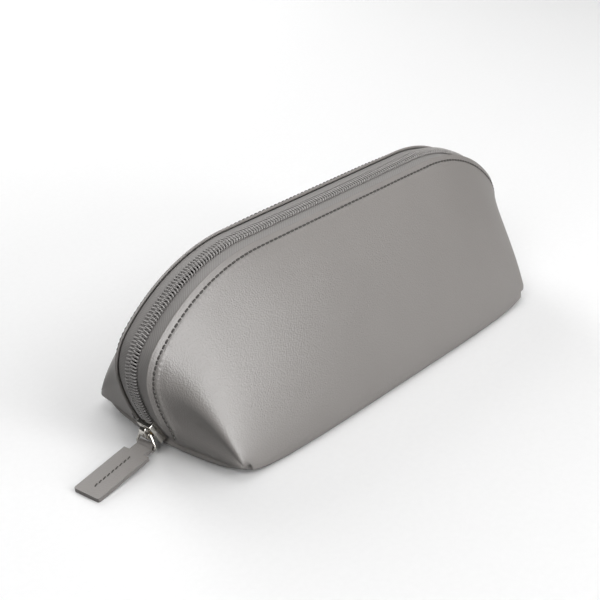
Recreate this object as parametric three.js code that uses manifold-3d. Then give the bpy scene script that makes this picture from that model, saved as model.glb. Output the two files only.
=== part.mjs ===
// Boxed zip pouch with a zip over its arched top, a slider, a wire ring and a leather pull tab.
// Millimetres, +Z up. X runs along the pouch, with the slider at its -X end, and -Y is the front.
import * as THREE from 'three';
import { ParametricGeometry } from 'three/addons/geometries/ParametricGeometry.js';
import { mergeVertices } from 'three/addons/utils/BufferGeometryUtils.js';
import Module from 'manifold-3d';

const wasm = await Module();
wasm.setup();

// Base, between the four boxed corners, and the end seams that bow out between them.
const BASE_HALF_LENGTH = 100;
const BASE_HALF_DEPTH = 43.3;
const END_BOW = 6.9;
const SIDE_BOW = 3.9;
const SEAM_HEIGHT = 4.6;
const LIP_LENGTH = 7;
const EDGE_RADIUS = 4;

// Arch of the zip, the line over the top of its teeth: three arcs from each end, then a straight.
const degrees = THREE.MathUtils.degToRad;
const ARCH_START_X = -107.5;
const ARCH_LEAN = degrees(125.3);
const ARCS = [
  { radius: 80, sweep: degrees(23.3), steps: 3 },
  { radius: 23.3, sweep: degrees(55.3), steps: 4 },
  { radius: 78.2, sweep: degrees(46.7), steps: 5 },
];
const TOP_HALF = 57.7;
const TOP_STEPS = 2;

// Leather edge beside the zip, and how steeply the leather leaves it along the arch.
const EDGE_Y = 8.5;
const CROWN_Y = 9;
const CROWN_DEPTH = 0.6;
const FAN_START_X = 83.3;
const FAN_POWER = 2.9;
const DROP = { atEnd: 10, cheek: 58, top: 36, endZone: [0, 20], topZone: [85, 145] };
const FULLNESS = { atEnd: 0.7, cheek: 0.43, top: 0.61, endZone: [0, 42], topZone: [42, 100] };
const FOOT_RISE = 0.356;
const FOOT_LEAN = 0.18;
const CHEEK_PULL = 0.445;
const CHEEK_REACH = 100;
const CORNER_LIFT_POWER = 11;
const ROLL_POWER = 6;
const SEAM_INSET_LIFT = 0.6;

// Walls, each as the depths of its two faces below the outside of the leather.
const LEATHER = [0, 1.2];
const FOAM = [1.8, 3.2];
const LINING = [3.8, 4.6];
const FOAM_EDGE_Y = 15;
const BASE_SEAM_GAP = 0.4;
const FACE_STEPS = 5;
const FACE_STEP_POWER = 1.25;
const ROLL_STEPS = 2;
const FLOOR_REACH = 0.35;

// Woven tape over the raw seams inside.
const BINDING = {
  baseSize: [172, 11, 0.8],
  baseHeight: 5.6,
  endX: 90,
  endHalf: 32,
  endWidth: 3.5,
  endBulge: 9,
  endThickness: 0.9,
  endHeight: 5.4,
};

// Zip: teeth coil, tape, stops.
const COIL_INNER_Y = 0.15;
const COIL_OUTER_Y = 3.1;
const COIL_HEIGHT = 2.1;
const COIL_CROWN = 0.7;
const COIL_FROM = 5.4;
const COIL_SHORT_OF_END = 6;
const TAPE_INNER_Y = 1.5;
const TAPE_TOP = -2.45;
const TAPE_THICKNESS = 0.6;
const TAPE_BEND_Y = 8.2;
const TAPE_WING = 3.6;
const TAPE_FROM = 0.6;
const STITCH_FROM_CROWN = 3.1;
const STITCH_HALF_WIDTH = 0.3;
const STITCH_FROM = 8;
const TOP_STOP = { from: 0.1, to: 1.1, inner: 0.4, outer: 2.6 };
const BOTTOM_STOP = { fromEnd: 3, length: 2.4, halfWidth: 2.7 };
const STOP_TOP = 0.2;
const STOP_FOOT = -2.15;

// Slider, centred this far along the arch.
const SLIDER_AT = 7.3;
const SLIDER_LENGTH = 11.5;
const PLATE = 1.1;
const COIL_ROOM = 0.35;
const TAPE_ROOM = 0.5;
const SLIDER_HALF = { mouth: 4.3, rear: 3.95 };
const CHANNEL_HALF = { mouth: 3.5, rear: 3.35 };
const CHANNEL_OVERHANG = 1;
const SHOULDER_X = { start: -1, end: 2 };
const POST = { x: -3.6, length: 2.6, width: 2.2, step: 0.4 };
const BRIDGE_HALF_WIDTH = 1.7;
const BRIDGE_TOP = 4.4;
const BRIDGE_UNDER = 3.6;
const BRIDGE_GAP = 0.3;
const SPRING_HALF_WIDTH = 0.9;

// Wire ring and pull tab.
const RING_PIVOT = { x: 1.2, z: 2.6 };
const RING_WIRE = 0.6;
const RING_DROP = 6.1;
const PULL_YAW = degrees(5.9);
const TAB_LENGTH = 35.5;
const TAB_WIDTH = 13.2;
const TAB_NECK_LENGTH = 6;
const TAB_NECK_WIDTH = 7.6;
const TAB_THICKNESS = 1.9;
const TAB_EYE_RADIUS = 1.9;
const TAB_HOLE_RADIUS = 0.95;
const TAB_NECK_PAST_EYE = 2;
const TAB_STITCHES = { length: 21, width: 0.6, thickness: 0.3, middle: -20.5, above: 0.45 };

const { clamp, lerp, smoothstep } = THREE.MathUtils;

// ---- the arch of the zip

const ARC_ENDS = [];
for (const arc of ARCS) {
  ARC_ENDS.push((ARC_ENDS.at(-1) ?? 0) + arc.radius * arc.sweep);
}
const ARCH_HALF = ARC_ENDS.at(-1) + TOP_HALF;
const ARCH_LENGTH = 2 * ARCH_HALF;

// Point on the arch at a distance along it, with the heading there.
function archAt(distance) {
  if (distance > ARCH_HALF) {
    const twin = archAt(ARCH_LENGTH - distance);
    return { x: -twin.x, z: twin.z, heading: -twin.heading };
  }
  let x = ARCH_START_X;
  let z = SEAM_HEIGHT;
  let heading = ARCH_LEAN;
  let left = distance;
  for (const { radius, sweep } of ARCS) {
    const turn = Math.min(left / radius, sweep);
    x += radius * (Math.sin(heading) - Math.sin(heading - turn));
    z += radius * (Math.cos(heading - turn) - Math.cos(heading));
    heading -= turn;
    left -= radius * turn;
  }
  return { x: x + left, z, heading };
}

// The same point moved out along the arch's normal, at a place across the zip.
function offArch(distance, y, height) {
  const { x, z, heading } = archAt(distance);
  return new THREE.Vector3(x - height * Math.sin(heading), y, z + height * Math.cos(heading));
}

// Distances along the arch at which every piece that follows it has a section.
function archStations() {
  const half = [0];
  for (const { radius, sweep, steps } of ARCS) {
    const start = half.at(-1);
    for (let i = 1; i <= steps; i += 1) half.push(start + radius * sweep * i / steps);
  }
  const start = half.at(-1);
  for (let i = 1; i <= TOP_STEPS; i += 1) half.push(start + TOP_HALF * i / TOP_STEPS);
  const mirrored = half.slice(0, -1).reverse().map((distance) => ARCH_LENGTH - distance);
  return [...half, ...mirrored];
}
const STATIONS = archStations();

// Distance from the nearer end of the zip.
function fromEnd(distance) {
  return Math.min(distance, ARCH_LENGTH - distance);
}

// Value that changes from the end of the zip to the cheek, and from the cheek to the top.
function alongZones(distance, { atEnd, cheek, top, endZone, topZone }) {
  const s = fromEnd(distance);
  return lerp(lerp(atEnd, cheek, smoothstep(s, ...endZone)), top, smoothstep(s, ...topZone));
}

// Angle by which the leather drops away from the zip where it leaves it.
function dropAngle(distance) {
  return degrees(alongZones(distance, DROP));
}

// ---- the pouch's outside, and the same shape inset for its inner walls

// Bottom edge of one long side, on the widest line above the base's roll.
function bottomEdge(distance, inset) {
  const { x } = archAt(distance);
  const fanLength = ARC_ENDS[2] - ARCS[2].radius * Math.asin((FAN_START_X - TOP_HALF) / ARCS[2].radius);
  const q = clamp(fromEnd(distance) / fanLength, 0, 1);
  const fanned = BASE_HALF_LENGTH - (BASE_HALF_LENGTH - FAN_START_X) * q ** FAN_POWER;
  const along = q < 1 ? fanned : Math.abs(x);
  const t = along / BASE_HALF_LENGTH;
  const lift = t ** CORNER_LIFT_POWER;
  return {
    x: Math.sign(x) * along * (1 - inset / BASE_HALF_LENGTH),
    y: BASE_HALF_DEPTH + SIDE_BOW * (1 - t ** 4) - inset,
    z: SEAM_HEIGHT * lift + inset * lerp(1, SEAM_INSET_LIFT, lift),
    roll: Math.max(EDGE_RADIUS * (1 - t ** ROLL_POWER) - inset, 0),
  };
}

// End seam, from one corner (across = -1) to the other (across = 1).
function endSeam(side, across, inset) {
  const x = BASE_HALF_LENGTH - inset + END_BOW * (1 - across ** 2);
  const y = across * (BASE_HALF_DEPTH - inset);
  return new THREE.Vector3(side * x, y, SEAM_HEIGHT + SEAM_INSET_LIFT * inset);
}

// Long face from the zip (t = 0) to the bottom edge (t = 1).
function facePoint(distance, side, t, inset) {
  const edge = bottomEdge(distance, inset);
  const drop = dropAngle(distance);
  const crownY = CROWN_Y - inset * Math.tan(drop / 2);
  const shoulder = (edge.y - crownY) * alongZones(distance, FULLNESS);
  const top = offArch(distance, side * crownY, -CROWN_DEPTH - inset);
  const out = offArch(distance, side * (crownY + shoulder * Math.cos(drop)),
    -CROWN_DEPTH - inset - shoulder * Math.sin(drop));
  const rise = FOOT_RISE * (top.z - edge.z - edge.roll);
  const nearEnd = clamp(1 - fromEnd(distance) / CHEEK_REACH, 0, 1);
  const pull = (archAt(distance).x - edge.x) * CHEEK_PULL * nearEnd;
  const above = new THREE.Vector3(edge.x + pull, side * (edge.y - FOOT_LEAN * rise), edge.z + edge.roll + rise);
  const foot = new THREE.Vector3(edge.x, side * edge.y, edge.z + edge.roll);
  return new THREE.CubicBezierCurve3(top, out, above, foot).getPoint(t);
}

// Base from the bottom edge (t = 0) to the seam along its middle (t = 1), with its end lip.
function basePoint(distance, side, t, inset) {
  const edge = bottomEdge(distance, inset);
  const end = Math.sign(edge.x || 1);
  const seam = endSeam(end, 1 - t, inset);
  const spread = Math.abs(edge.x) / (BASE_HALF_LENGTH - inset);
  const y = lerp(edge.y - edge.roll, 0, t);
  const x = end * Math.abs(seam.x) * spread;
  const toSeam = Math.abs(seam.x) - Math.abs(x);
  const lip = seam.z * Math.max(1 - toSeam / LIP_LENGTH, 0) ** 2;
  return new THREE.Vector3(x, side * y, lerp(edge.z, Math.max(lip, inset), smoothstep(t, 0, FLOOR_REACH)));
}

// Closed skin of the whole pouch: rings round it at every station, from one end seam to the other.
function pouchBody(inset) {
  const half = FACE_STEPS + 1;
  const quarter = 2 * half + ROLL_STEPS;
  const ringPoint = (distance, side, step) => {
    const across = Math.min(step / half, 1);
    const back = clamp((step - half - ROLL_STEPS) / half, 0, 1);
    if (distance <= 0 || distance >= ARCH_LENGTH) {
      const end = distance <= 0 ? -1 : 1;
      return endSeam(end, side * (step <= half ? across : 1 - back), inset);
    }
    if (step === 0) return offArch(distance, 0, -CROWN_DEPTH - inset);
    if (step <= half) return facePoint(distance, side, ((step - 1) / FACE_STEPS) ** FACE_STEP_POWER, inset);
    if (step >= half + ROLL_STEPS) return basePoint(distance, side, back, inset);
    const edge = bottomEdge(distance, inset);
    const turn = (step - half) / ROLL_STEPS * Math.PI / 2;
    const y = edge.y - edge.roll * (1 - Math.cos(turn));
    return new THREE.Vector3(edge.x, side * y, edge.z + edge.roll * (1 - Math.sin(turn)));
  };
  const slices = STATIONS.length - 1;
  const stacks = 2 * quarter;
  const geometry = new ParametricGeometry((u, v, target) => {
    const station = STATIONS[Math.round(u * slices)];
    const step = Math.round(v * stacks);
    const side = step < quarter ? -1 : 1;
    target.copy(ringPoint(station, side, side < 0 ? step : stacks - step));
  }, slices, stacks);
  return solid(geometry);
}

// ---- solids

// Merged, closed geometry with any triangle that has no area left out.
function closed(geometry) {
  const bare = geometry.index ? geometry.clone() : geometry;
  bare.deleteAttribute('normal');
  bare.deleteAttribute('uv');
  const merged = mergeVertices(bare, 1e-4);
  const index = merged.index.array;
  const kept = [];
  for (let i = 0; i < index.length; i += 3) {
    const [a, b, c] = [index[i], index[i + 1], index[i + 2]];
    if (a !== b && b !== c && c !== a) kept.push(a, b, c);
  }
  merged.setIndex(kept);
  return merged;
}

// The geometry as a manifold, turned the right way out.
function solid(geometry) {
  const merged = closed(geometry);
  const triVerts = Uint32Array.from(merged.index.array);
  if (signedVolume(merged) < 0) triVerts.reverse();
  const vertProperties = Float32Array.from(merged.attributes.position.array);
  return new wasm.Manifold(new wasm.Mesh({ numProp: 3, vertProperties, triVerts }));
}

function signedVolume(geometry) {
  const position = geometry.attributes.position;
  const index = geometry.index.array;
  const corner = (i) => new THREE.Vector3().fromBufferAttribute(position, index[i]);
  let volume = 0;
  for (let i = 0; i < index.length; i += 3) {
    volume += corner(i).dot(corner(i + 1).cross(corner(i + 2))) / 6;
  }
  return volume;
}

function geometryOf(manifold) {
  const { vertProperties, triVerts, numProp } = manifold.getMesh();
  const geometry = new THREE.BufferGeometry();
  geometry.setAttribute('position', new THREE.InterleavedBufferAttribute(
    new THREE.InterleavedBuffer(vertProperties, numProp), 3, 0));
  geometry.setIndex([...triVerts]);
  const plain = geometry.toNonIndexed();
  plain.computeVertexNormals();
  return plain;
}

function box(size, centre) {
  return solid(new THREE.BoxGeometry(...size).translate(...centre));
}

// Outline in X and Z, extruded along Y from -half to half.
function slab(shape, half, curveSegments = 12) {
  const depth = 2 * half;
  const geometry = new THREE.ExtrudeGeometry(shape, { depth, bevelEnabled: false, curveSegments });
  return solid(geometry.translate(0, 0, -half).rotateX(Math.PI / 2));
}

// Ribbon along the arch. sectionAt gives the points of its upper face across the ribbon, then of
// its lower face backwards, so that each point and its partner close the ends.
function archRibbon(sectionAt, from, to) {
  const inside = STATIONS.filter((station) => station > from + 0.5 && station < to - 0.5);
  const stops = [from, from, ...inside, to, to];
  const slices = stops.length - 1;
  const count = sectionAt(from).length;
  const geometry = new ParametricGeometry((u, v, target) => {
    const ring = Math.round(u * slices);
    const place = Math.round(v * count) % count;
    const section = sectionAt(stops[ring]);
    target.copy(section[place]);
    if (ring === 0 || ring === slices) target.add(section[count - 1 - place]).multiplyScalar(0.5);
  }, slices, count);
  return solid(geometry);
}

// ---- named meshes

const pouch = new THREE.Group();

function material(color, roughness, metalness = 0) {
  return new THREE.MeshStandardMaterial({ color, roughness, metalness });
}
const MATERIALS = {
  leather: material(0x85817c, 0.5),
  foam: material(0xd9d6cf, 0.9),
  lining: material(0x55524e, 0.8),
  tape: material(0x5f605e, 0.8),
  coil: material(0x4c4d4c, 0.45),
  thread: material(0x35332f, 0.7),
  steel: material(0xb9b9b6, 0.25, 1),
  brass: material(0xb08a4a, 0.3, 1),
};

function addMesh(name, finish, body, parent = pouch) {
  const geometry = body instanceof wasm.Manifold ? geometryOf(body) : body;
  const mesh = new THREE.Mesh(geometry, MATERIALS[finish]);
  mesh.name = name;
  parent.add(mesh);
  return mesh;
}

// ---- walls of the pouch

// Slab round the arch, as wide as the part of the zip that it clears.
function zipSlab(half) {
  const outline = new THREE.Shape();
  const edge = (height) => STATIONS.map((station) => {
    const { x, z } = offArch(station, 0, height);
    return new THREE.Vector2(x, z);
  });
  outline.setFromPoints([...edge(4), ...edge(-9).reverse()]);
  return slab(outline, half);
}

// One wall layer, opened along the zip and parted along the middle of the base.
function addWall(name, finish, [outer, inner], edgeY) {
  const shell = pouchBody(outer).subtract(pouchBody(inner)).subtract(zipSlab(edgeY));
  for (const [word, side] of [['front', -1], ['back', 1]]) {
    const room = box([300, 100, 200], [0, side * (50 + BASE_SEAM_GAP / 2), 50]);
    addMesh(`${word}_${name}`, finish, shell.intersect(room));
  }
}

addWall('shell', 'leather', LEATHER, EDGE_Y);
addWall('foam', 'foam', FOAM, FOAM_EDGE_Y);
addWall('lining', 'lining', LINING, EDGE_Y);

// ---- bindings over the raw seams inside

function addBindings() {
  const { baseSize, baseHeight, endX, endHalf, endWidth, endBulge, endThickness, endHeight } = BINDING;
  addMesh('base_seam_binding', 'lining', box(baseSize, [0, 0, baseHeight]));
  for (const [word, end] of [['left', -1], ['right', 1]]) {
    const outer = end * endX;
    const inner = end * (endX - endWidth);
    const strip = new THREE.Shape();
    strip.moveTo(outer, -endHalf);
    strip.quadraticCurveTo(outer + end * endBulge, 0, outer, endHalf);
    strip.lineTo(inner, endHalf);
    strip.quadraticCurveTo(inner + end * endBulge, 0, inner, -endHalf);
    const options = { depth: endThickness, bevelEnabled: false, curveSegments: 8 };
    const geometry = new THREE.ExtrudeGeometry(strip, options);
    addMesh(`${word}_end_binding`, 'lining', solid(geometry.translate(0, 0, endHeight)));
  }
}
addBindings();

// ---- zip

// Tape: flat beside the teeth, then bent down under the leather that it is sewn to.
function tapeSection(distance, side) {
  const drop = dropAngle(distance);
  const wing = TAPE_WING * smoothstep(fromEnd(distance), 1, 10);
  const bend = side * TAPE_BEND_Y;
  const bendBelow = side * (TAPE_BEND_Y - TAPE_THICKNESS * Math.tan(drop / 2));
  const out = side * wing * Math.cos(drop);
  const down = wing * Math.sin(drop);
  const low = TAPE_TOP - TAPE_THICKNESS;
  const across = [
    [side * TAPE_INNER_Y, TAPE_TOP], [bend, TAPE_TOP], [bend + out, TAPE_TOP - down],
    [bendBelow + out, low - down], [bendBelow, low], [side * TAPE_INNER_Y, low],
  ];
  return across.map(([y, height]) => offArch(distance, y, height));
}

function coilSection(distance, side) {
  const inner = side * COIL_INNER_Y;
  const outer = side * COIL_OUTER_Y;
  const round = side * COIL_CROWN;
  const across = [
    [inner, -0.3], [inner + round, 0], [outer - round, 0], [outer, -COIL_CROWN],
    [outer, -COIL_HEIGHT], [outer - round, -COIL_HEIGHT], [inner + round, -COIL_HEIGHT], [inner, -COIL_HEIGHT],
  ];
  return across.map(([y, height]) => offArch(distance, y, height));
}

// Thread line just above the leather, at its fixed way down from the folded edge.
function stitchSection(distance, side) {
  const start = facePoint(distance, side, 0, 0);
  const pace = facePoint(distance, side, 0.01, 0).distanceTo(start) / 0.01;
  const middle = STITCH_FROM_CROWN / pace;
  const width = STITCH_HALF_WIDTH / pace;
  const across = [
    [middle - width, -1.4], [middle + width, -1.4], [middle + width, -1], [middle - width, -1],
  ];
  return across.map(([t, inset]) => facePoint(distance, side, t, inset));
}

function stopSection(distance, from, to) {
  const across = [[from, STOP_TOP], [to, STOP_TOP], [to, STOP_FOOT], [from, STOP_FOOT]];
  return across.map(([y, height]) => offArch(distance, y, height));
}

function addZip() {
  const addRibbon = (name, finish, sectionAt, from, to) => {
    addMesh(name, finish, archRibbon(sectionAt, from, to));
  };
  for (const [word, side] of [['front', -1], ['back', 1]]) {
    addRibbon(`${word}_tape`, 'tape', (s) => tapeSection(s, side), TAPE_FROM, ARCH_LENGTH - TAPE_FROM);
    addRibbon(`${word}_coil`, 'coil', (s) => coilSection(s, side), COIL_FROM, ARCH_LENGTH - COIL_SHORT_OF_END);
    const stitch = (s) => stitchSection(s, side);
    addRibbon(`${word}_topstitch`, 'thread', stitch, STITCH_FROM, ARCH_LENGTH - STITCH_FROM);
    const stop = (s) => stopSection(s, side * TOP_STOP.inner, side * TOP_STOP.outer);
    addRibbon(`${word}_top_stop`, 'steel', stop, TOP_STOP.from, TOP_STOP.to);
  }
  const end = ARCH_LENGTH - BOTTOM_STOP.fromEnd;
  const stop = (s) => stopSection(s, -BOTTOM_STOP.halfWidth, BOTTOM_STOP.halfWidth);
  addRibbon('bottom_stop', 'steel', stop, end - BOTTOM_STOP.length, end);
}
addZip();

// ---- slider, in a group whose X runs up the arch and whose Z points out of it

// Plan of the slider at a distance out from its middle line: wide at the mouth, narrow behind.
function sliderPlan({ mouth, rear }, overhang) {
  const plan = new THREE.Shape();
  const half = SLIDER_LENGTH / 2 + overhang;
  const { start, end } = SHOULDER_X;
  const turn = (start + 2 * end) / 3;
  plan.moveTo(-half, -mouth);
  plan.lineTo(start, -mouth);
  plan.quadraticCurveTo(turn, -mouth, end, -rear);
  plan.lineTo(half, -rear);
  plan.lineTo(half, rear);
  plan.lineTo(end, rear);
  plan.quadraticCurveTo(turn, mouth, start, mouth);
  plan.lineTo(-half, mouth);
  return plan;
}

function planSolid(plan, low, high) {
  const options = { depth: high - low, bevelEnabled: false, curveSegments: 4 };
  const geometry = new THREE.ExtrudeGeometry(plan, options);
  return solid(geometry.translate(0, 0, low));
}

function sliderBody() {
  const underside = TAPE_TOP - TAPE_THICKNESS - TAPE_ROOM;
  const slotTop = TAPE_TOP + TAPE_ROOM;
  const topFace = COIL_ROOM + PLATE;
  const block = planSolid(sliderPlan(SLIDER_HALF, 0), underside - PLATE, topFace);
  const channel = planSolid(sliderPlan(CHANNEL_HALF, CHANNEL_OVERHANG), underside, COIL_ROOM);
  const slotSize = [SLIDER_LENGTH + 2 * CHANNEL_OVERHANG, 3 * SLIDER_HALF.mouth, slotTop - underside];
  const tapeSlot = box(slotSize, [0, 0, (slotTop + underside) / 2]);
  const postHeight = topFace - underside + PLATE - POST.step;
  const post = box([POST.length, POST.width, postHeight], [POST.x, 0, (topFace + underside - PLATE) / 2]);
  return block.subtract(channel).subtract(tapeSlot).add(post);
}

// Strap over the top plate that the ring hangs from.
function sliderBridge() {
  const foot = COIL_ROOM + PLATE + BRIDGE_GAP;
  const strap = new THREE.Shape();
  strap.moveTo(-3.5, foot);
  strap.bezierCurveTo(-3.3, 3, -1.6, BRIDGE_TOP, RING_PIVOT.x, BRIDGE_TOP);
  strap.bezierCurveTo(3.4, BRIDGE_TOP, 4.6, BRIDGE_UNDER, 4.8, foot);
  strap.lineTo(3.9, foot);
  strap.bezierCurveTo(3.8, 3, 2.9, BRIDGE_UNDER, RING_PIVOT.x, BRIDGE_UNDER);
  strap.bezierCurveTo(-0.8, BRIDGE_UNDER, -2.4, 2.6, -2.6, foot);
  return slab(strap, BRIDGE_HALF_WIDTH, 8);
}

function lockSpring() {
  const low = COIL_ROOM + PLATE + BRIDGE_GAP;
  const leaf = new THREE.Shape();
  leaf.moveTo(-1.8, low);
  leaf.lineTo(0.1, low);
  leaf.lineTo(0.1, low + 0.3);
  leaf.quadraticCurveTo(-0.8, low + 0.7, -1.8, low + 0.3);
  return slab(leaf, SPRING_HALF_WIDTH, 6);
}

function addSlider() {
  const { x, z, heading } = archAt(SLIDER_AT);
  const slider = new THREE.Group();
  slider.position.set(x, 0, z);
  slider.rotation.y = -heading;
  addMesh('slider_body', 'steel', sliderBody(), slider);
  addMesh('slider_bridge', 'steel', sliderBridge(), slider);
  addMesh('slider_lock_spring', 'brass', lockSpring(), slider);
  pouch.add(slider);
  return slider;
}
const slider = addSlider();

// ---- ring and pull tab, hanging from the bridge

// Closed wire loop: narrow where it passes under the bridge, wide where it holds the tab.
function ringGeometry() {
  const half = [[0, 0], [1.9, 0], [2.8, -0.8], [4.5, -4.5], [4.6, -5.4], [4, -RING_DROP], [0, -RING_DROP]];
  const right = half.map(([y, z]) => new THREE.Vector3(0, y, z));
  const left = half.slice(1, -1).reverse().map(([y, z]) => new THREE.Vector3(0, -y, z));
  const loop = new THREE.CatmullRomCurve3([...right, ...left], true, 'centripetal');
  return new THREE.TubeGeometry(loop, 36, RING_WIRE, 8, true);
}

// Strip of leather folded round the ring: an eye, a narrow neck and the wide tab.
function tabSolid() {
  const side = new THREE.Shape();
  const half = TAB_THICKNESS / 2;
  const join = Math.sqrt(TAB_EYE_RADIUS ** 2 - half ** 2);
  const angle = Math.atan2(half, -join);
  side.moveTo(-TAB_LENGTH, -half);
  side.lineTo(-join, -half);
  side.absarc(0, 0, TAB_EYE_RADIUS, -angle, angle, false);
  side.lineTo(-TAB_LENGTH, half);
  const hole = new THREE.Path();
  hole.absarc(0, 0, TAB_HOLE_RADIUS, 0, 2 * Math.PI, true);
  side.holes.push(hole);
  const strip = slab(side, TAB_WIDTH / 2, 10);
  const wide = TAB_LENGTH - TAB_NECK_LENGTH;
  const tall = 4 * TAB_EYE_RADIUS;
  const tab = box([wide, TAB_WIDTH, tall], [-TAB_NECK_LENGTH - wide / 2, 0, 0]);
  const neckLength = 2 * TAB_NECK_LENGTH + TAB_NECK_PAST_EYE;
  const neck = box([neckLength, TAB_NECK_WIDTH, tall], [TAB_NECK_PAST_EYE - neckLength / 2, 0, 0]);
  return strip.intersect(tab.add(neck));
}

function addPull() {
  const pivot = new THREE.Vector3(RING_PIVOT.x, 0, RING_PIVOT.z);
  pivot.applyEuler(slider.rotation).add(slider.position);
  const ring = new THREE.Group();
  ring.position.copy(pivot);
  ring.rotation.z = PULL_YAW;
  addMesh('pull_ring', 'steel', solid(ringGeometry()), ring);
  const tab = new THREE.Group();
  tab.position.z = -RING_DROP;
  const barHeight = pivot.z - RING_DROP;
  tab.rotation.y = -Math.asin((barHeight - TAB_THICKNESS / 2) / TAB_LENGTH);
  addMesh('pull_tab', 'leather', tabSolid(), tab);
  const { length, width, thickness, middle: threadX, above } = TAB_STITCHES;
  const thread = box([length, width, thickness], [threadX, 0, TAB_THICKNESS / 2 + above]);
  addMesh('pull_tab_thread', 'thread', thread, tab);
  ring.add(tab);
  pouch.add(ring);
}
addPull();

// The origin is under the middle of the whole object.
const bounds = new THREE.Box3().setFromObject(pouch, true);
const middle = bounds.getCenter(new THREE.Vector3());
pouch.position.set(-middle.x, -middle.y, -bounds.min.z);

export default pouch;
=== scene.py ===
import bisect
import functools
import math

import bmesh
import bpy
from mathutils import Matrix, Vector


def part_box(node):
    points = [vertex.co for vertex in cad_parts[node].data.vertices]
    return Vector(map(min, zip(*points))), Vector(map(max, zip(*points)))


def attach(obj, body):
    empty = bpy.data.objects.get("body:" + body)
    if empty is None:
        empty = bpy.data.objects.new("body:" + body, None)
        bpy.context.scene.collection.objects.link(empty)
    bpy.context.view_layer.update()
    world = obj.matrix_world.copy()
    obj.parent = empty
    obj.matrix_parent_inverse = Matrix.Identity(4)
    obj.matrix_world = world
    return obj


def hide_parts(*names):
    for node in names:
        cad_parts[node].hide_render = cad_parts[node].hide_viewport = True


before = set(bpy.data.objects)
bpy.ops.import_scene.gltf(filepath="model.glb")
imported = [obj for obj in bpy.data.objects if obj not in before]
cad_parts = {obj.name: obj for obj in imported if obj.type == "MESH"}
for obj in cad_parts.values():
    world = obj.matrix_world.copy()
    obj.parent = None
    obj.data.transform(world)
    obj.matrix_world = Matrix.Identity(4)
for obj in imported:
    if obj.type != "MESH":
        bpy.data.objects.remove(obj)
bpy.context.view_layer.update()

MM = 0.001

# ---- Camera
# A long lens looks down on the slider end and the front of the pouch, as in a catalogue view. It
# aims a little towards the slider end, so that the pull tab has its room in the frame.
VIEW_AZIMUTH = math.radians(-48.8)
VIEW_HEIGHT = math.radians(28.0)
VIEW_DISTANCE = 563.7 * MM
LENS = 76.07
SENSOR_WIDTH = 36
AIM_LEFT_OF_MIDDLE = 19.7 * MM
AIM_HEIGHT = 33.4 * MM

shell_low, shell_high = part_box("front_shell")
POUCH_MIDDLE = (shell_low.x + shell_high.x) / 2
aim = Vector((POUCH_MIDDLE - AIM_LEFT_OF_MIDDLE, 0, AIM_HEIGHT))
to_camera = Vector((
    math.sin(VIEW_AZIMUTH) * math.cos(VIEW_HEIGHT),
    -math.cos(VIEW_AZIMUTH) * math.cos(VIEW_HEIGHT),
    math.sin(VIEW_HEIGHT),
))
lens = bpy.data.cameras.new("camera")
lens.lens = LENS
lens.sensor_width = SENSOR_WIDTH
camera = bpy.data.objects.new("camera", lens)
camera.location = aim + to_camera * VIEW_DISTANCE
camera.rotation_euler = (-to_camera).to_track_quat("-Z", "Y").to_euler()
bpy.context.scene.collection.objects.link(camera)
bpy.context.scene.camera = camera

# ---- Studio
# White paper that throws no light back, before a white backdrop. A broad soft box hangs over the
# table, smaller ones stand in front, on the left and behind, and one only gives the leather its
# soft highlight.
bpy.context.scene.view_settings.view_transform = "Standard"


def linear(hex_colour):
    """Linear RGBA of an sRGB colour such as 8e8a88."""
    channels = [int(hex_colour[i:i + 2], 16) / 255 for i in (0, 2, 4)]
    return [c / 12.92 if c <= 0.04045 else ((c + 0.055) / 1.055) ** 2.4 for c in channels] + [1]


def add_node(material, kind, links=None, **settings):
    """Adds a node, with its settings, and with its inputs either linked or set."""
    node = material.node_tree.nodes.new(kind)
    for key, value in settings.items():
        setattr(node, key, value)
    for key, value in (links or {}).items():
        if isinstance(value, bpy.types.NodeSocket):
            material.node_tree.links.new(value, node.inputs[key])
        else:
            node.inputs[key].default_value = value
    return node


def new_material(name):
    """An empty material with its surface shader; returns both."""
    material = bpy.data.materials.new(name)
    material.use_nodes = True
    material.node_tree.nodes.clear()
    shader = add_node(material, "ShaderNodeBsdfPrincipled")
    add_node(material, "ShaderNodeOutputMaterial", {"Surface": shader.outputs["BSDF"]})
    return material, shader


def join(material, source, target):
    material.node_tree.links.new(source, target)


paper, shader = new_material("white_backdrop_paper")
where = add_node(paper, "ShaderNodeTexCoord")
fibre = add_node(paper, "ShaderNodeTexNoise", {"Vector": where.outputs["Object"], "Scale": 400.0})
tone = add_node(paper, "ShaderNodeValToRGB", {"Fac": fibre.outputs["Fac"]})
tone.color_ramp.elements[0].color = linear("f6f6f6")
tone.color_ramp.elements[1].color = linear("fafafa")
join(paper, tone.outputs["Color"], shader.inputs["Base Color"])
shader.inputs["Roughness"].default_value = 0.9
shader.inputs["Specular IOR Level"].default_value = 0.1

FLOOR_HALF = 1.0
BACKDROP = {"lights_with": 0.05, "looks_like": 0.9}
shape = bmesh.new()
bmesh.ops.create_grid(shape, x_segments=1, y_segments=1, size=FLOOR_HALF)
floor_mesh = bpy.data.meshes.new("floor")
shape.to_mesh(floor_mesh)
shape.free()
floor = bpy.data.objects.new("floor", floor_mesh)
floor_mesh.materials.append(paper)
bpy.context.scene.collection.objects.link(floor)
floor.visible_diffuse = False

world = bpy.data.worlds.new("studio")
world.use_nodes = True
world.node_tree.nodes["Background"].inputs["Color"].default_value = linear("ffffff")
seen = add_node(world, "ShaderNodeLightPath")
strength = add_node(world, "ShaderNodeMapRange", {
    "Value": seen.outputs["Is Camera Ray"],
    "To Min": BACKDROP["lights_with"], "To Max": BACKDROP["looks_like"],
})
join(world, strength.outputs["Result"], world.node_tree.nodes["Background"].inputs["Strength"])
bpy.context.scene.world = world


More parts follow.
